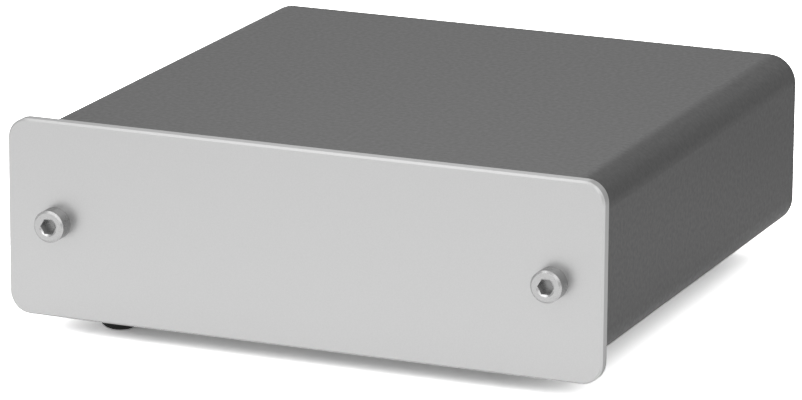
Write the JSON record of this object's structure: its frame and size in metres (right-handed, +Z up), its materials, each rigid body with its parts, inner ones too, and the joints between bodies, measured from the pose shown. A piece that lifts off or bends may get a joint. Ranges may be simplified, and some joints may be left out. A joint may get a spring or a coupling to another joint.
{
  "type": "phono preamplifier",
  "caption": "Small desktop phono preamplifier: silver front panel on a dark metal sleeve with rubber feet, phono sockets, earth terminal and power inlet at the rear.",
  "frame": {"origin": "centre of the bounding box's bottom, on the surface that the feet stand on", "axes": "+X to the right as seen from the front, +Y from the front panel towards the rear sockets, +Z up"},
  "size_m": [0.107, 0.1154, 0.0375],
  "materials": {
    "satin_aluminium": "bare, fine satin",
    "nickel_steel": "bright nickel plate on steel",
    "dark_powder_coat": "fine textured matt powder coat",
    "zinc_sheet": "zinc-plated sheet",
    "black_screws": "black oxide on steel",
    "foot_rubber": "matt",
    "board_green": "green resist on glass-fibre board",
    "black_moulding": "moulded",
    "gold_plate": "gold-plated brass",
    "white_moulding": "moulded",
    "red_moulding": "moulded",
    "wire_sleeve": "soft insulation",
    "chip_black": "moulded package with tinned legs",
    "film_red": "moulded box",
    "can_sleeve": "shrunk sleeve on an aluminium can",
    "ceramic_tan": "dipped",
    "resistor_blue": "lacquered with colour bands",
    "ferrite": "sintered, under a copper winding"
  },
  "bodies": {
    "case": {"front_panel": "satin_aluminium", "front_panel_screws": "nickel_steel", "outer_sleeve": "dark_powder_coat", "chassis_tray": "zinc_sheet", "clinch_nuts": "nickel_steel", "rear_panel": "dark_powder_coat", "rear_panel_screws": "black_screws", "foot_front_left": "foot_rubber", "foot_front_right": "foot_rubber", "foot_rear_left": "foot_rubber", "foot_rear_right": "foot_rubber", "circuit_board": "board_green", "board_standoffs": "nickel_steel", "board_screws": "nickel_steel", "input_socket_block": "black_moulding", "output_socket_block": "black_moulding", "socket_block_screws": "black_screws", "input_socket_shells": "gold_plate", "output_socket_shells": "gold_plate", "input_left_insulator": "white_moulding", "input_right_insulator": "red_moulding", "output_left_insulator": "white_moulding", "output_right_insulator": "red_moulding", "input_centre_contacts": "gold_plate", "output_centre_contacts": "gold_plate", "power_inlet_body": "black_moulding", "power_inlet_pin": "nickel_steel", "power_inlet_spring": "nickel_steel", "earth_post": "gold_plate", "earth_lug": "gold_plate", "earth_wire": "wire_sleeve", "earth_lock_nut": "gold_plate", "selector_switch_body": "red_moulding", "op_amps": "chip_black", "film_capacitors": "film_red", "signal_capacitors": "can_sleeve", "ceramic_capacitors": "ceramic_tan", "supply_capacitors": "can_sleeve", "resistors": "resistor_blue", "diodes": "chip_black", "regulators": "chip_black", "supply_chokes": "ferrite"},
    "earth_washer": {"earth_washer": "gold_plate"},
    "earth_thumb_nut": {"earth_thumb_nut": "gold_plate"},
    "selector_slider_1": {"selector_slider_1": "white_moulding"},
    "selector_slider_2": {"selector_slider_2": "white_moulding"},
    "selector_slider_3": {"selector_slider_3": "white_moulding"},
    "selector_slider_4": {"selector_slider_4": "white_moulding"}
  },
  "joints": [
    {"name": "earth_washer_slide", "type": "slide", "parent": "case", "child": "earth_washer", "axis": [0, 1, 0], "range_m": [0, 0.0028]},
    {"name": "earth_thumb_nut_turn", "type": "hinge", "parent": "earth_washer", "child": "earth_thumb_nut", "pos_m": [-0.00543, 0.053, 0.0214], "axis": [0, 1, 0], "range_deg": [0, 1440]},
    {"name": "selector_slider_1_slide", "type": "slide", "parent": "case", "child": "selector_slider_1", "axis": [0, 1, 0], "range_m": [0, 0.002]},
    {"name": "selector_slider_2_slide", "type": "slide", "parent": "case", "child": "selector_slider_2", "axis": [0, 1, 0], "range_m": [0, 0.002]},
    {"name": "selector_slider_3_slide", "type": "slide", "parent": "case", "child": "selector_slider_3", "axis": [0, 1, 0], "range_m": [0, 0.002]},
    {"name": "selector_slider_4_slide", "type": "slide", "parent": "case", "child": "selector_slider_4", "axis": [0, 1, 0], "range_m": [0, 0.002]}
  ],
  "couplings": [
    {"joint": "earth_thumb_nut_turn", "follows": "earth_washer_slide", "rad_per_m": 8976}
  ]
}
